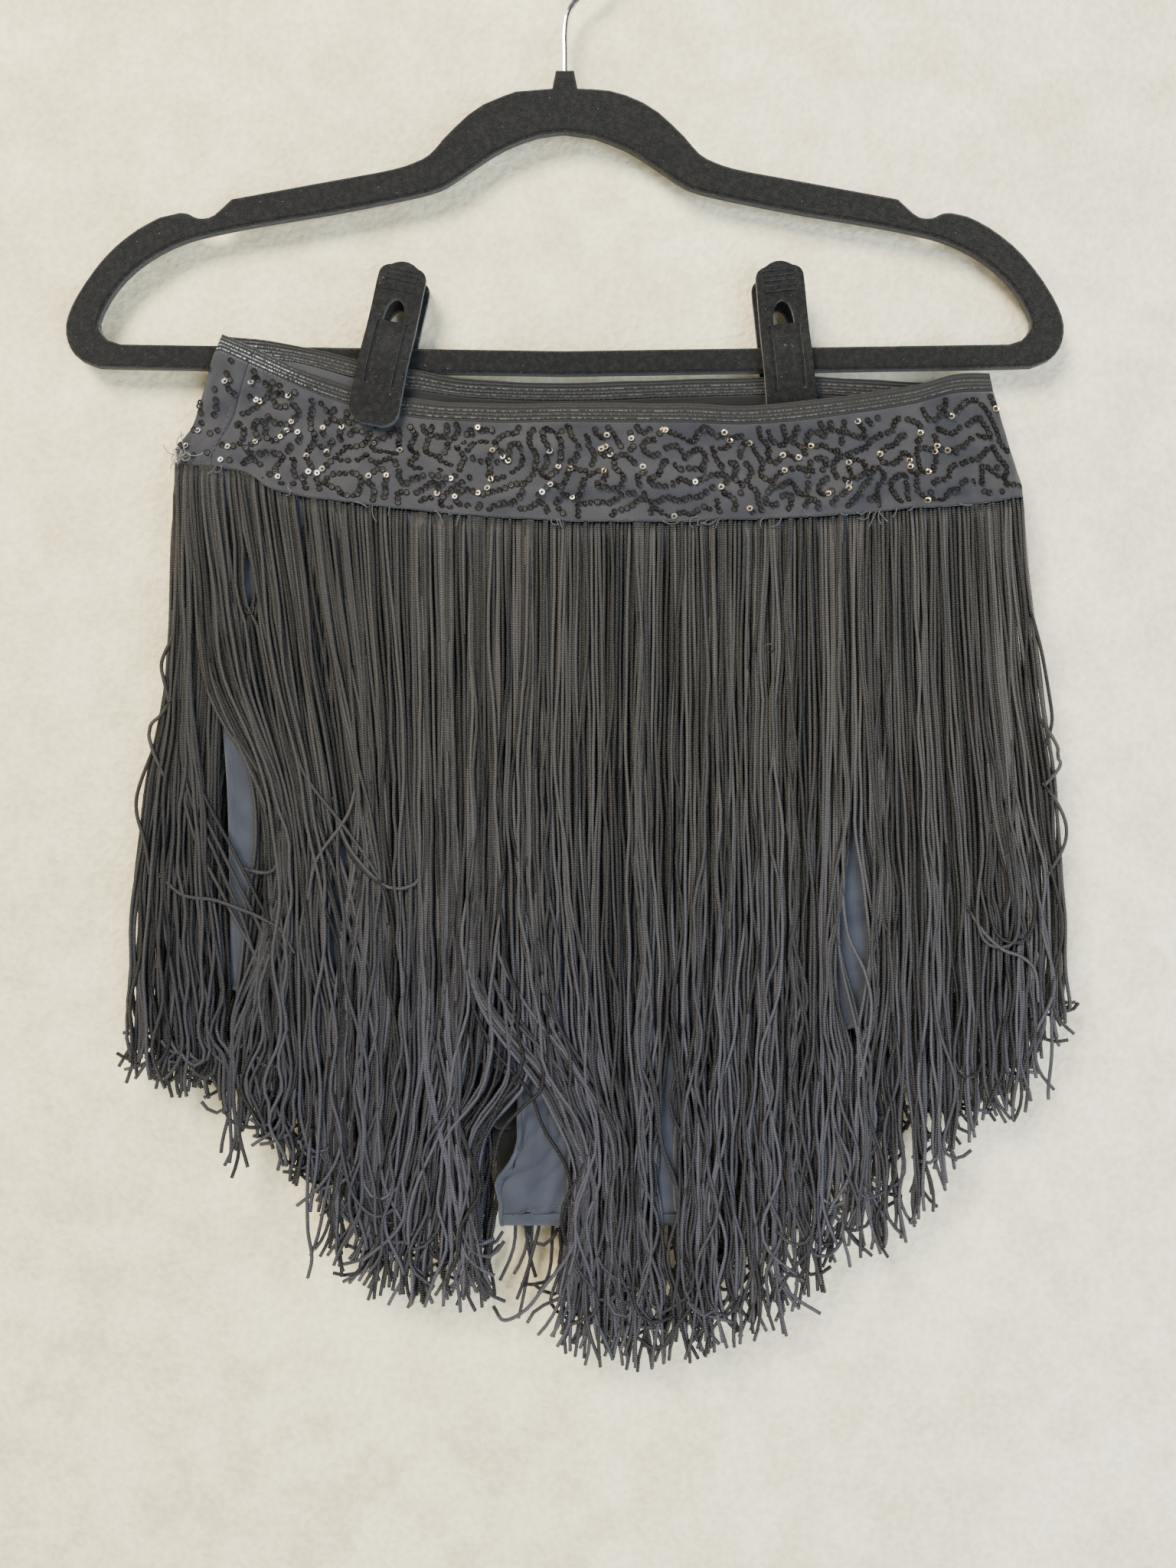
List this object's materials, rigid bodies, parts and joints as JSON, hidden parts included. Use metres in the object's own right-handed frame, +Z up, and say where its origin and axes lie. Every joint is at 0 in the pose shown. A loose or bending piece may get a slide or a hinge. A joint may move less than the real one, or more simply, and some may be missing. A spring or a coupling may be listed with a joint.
{
  "type": "fringe skirt on a clip hanger",
  "caption": "Chevron fringe skirt with a sequinned yoke and a built-in brief, hung flat from the clips of a slim flocked hanger with a wire hook.",
  "frame": {"origin": "where the inside of the hook rests on a rail, at the top of its curve", "axes": "+Z up, -Y out of the skirt's front, +X to the right as seen from the front"},
  "size_m": [0.4473, 0.0239, 0.6576],
  "materials": {
    "lurex_elastic": "black knitted elastic with silver lurex lines",
    "sequinned_stretch": "matt slate stretch cloth with small black cup sequins",
    "stretch_cloth": "smooth slate stretch cloth with a soft sheen",
    "chainette": "matt black rayon chainette cords",
    "flocked_plastic": "black flock over plastic",
    "chrome_wire": "polished chrome wire",
    "spring_steel": "plain spring steel"
  },
  "bodies": {
    "root": {"waist_binding_front": "lurex_elastic", "waist_binding_back": "lurex_elastic", "yoke_front": "sequinned_stretch", "yoke_back": "sequinned_stretch", "brief_front": "stretch_cloth", "brief_back": "stretch_cloth", "gusset": "stretch_cloth", "fringe_front": "chainette", "fringe_back": "chainette", "hanger": "flocked_plastic", "hook": "chrome_wire", "clip_left_front_leaf": "flocked_plastic", "clip_left_back_leaf": "flocked_plastic", "clip_left_spring": "spring_steel", "clip_right_front_leaf": "flocked_plastic", "clip_right_back_leaf": "flocked_plastic", "clip_right_spring": "spring_steel"}
  },
  "joints": []
}
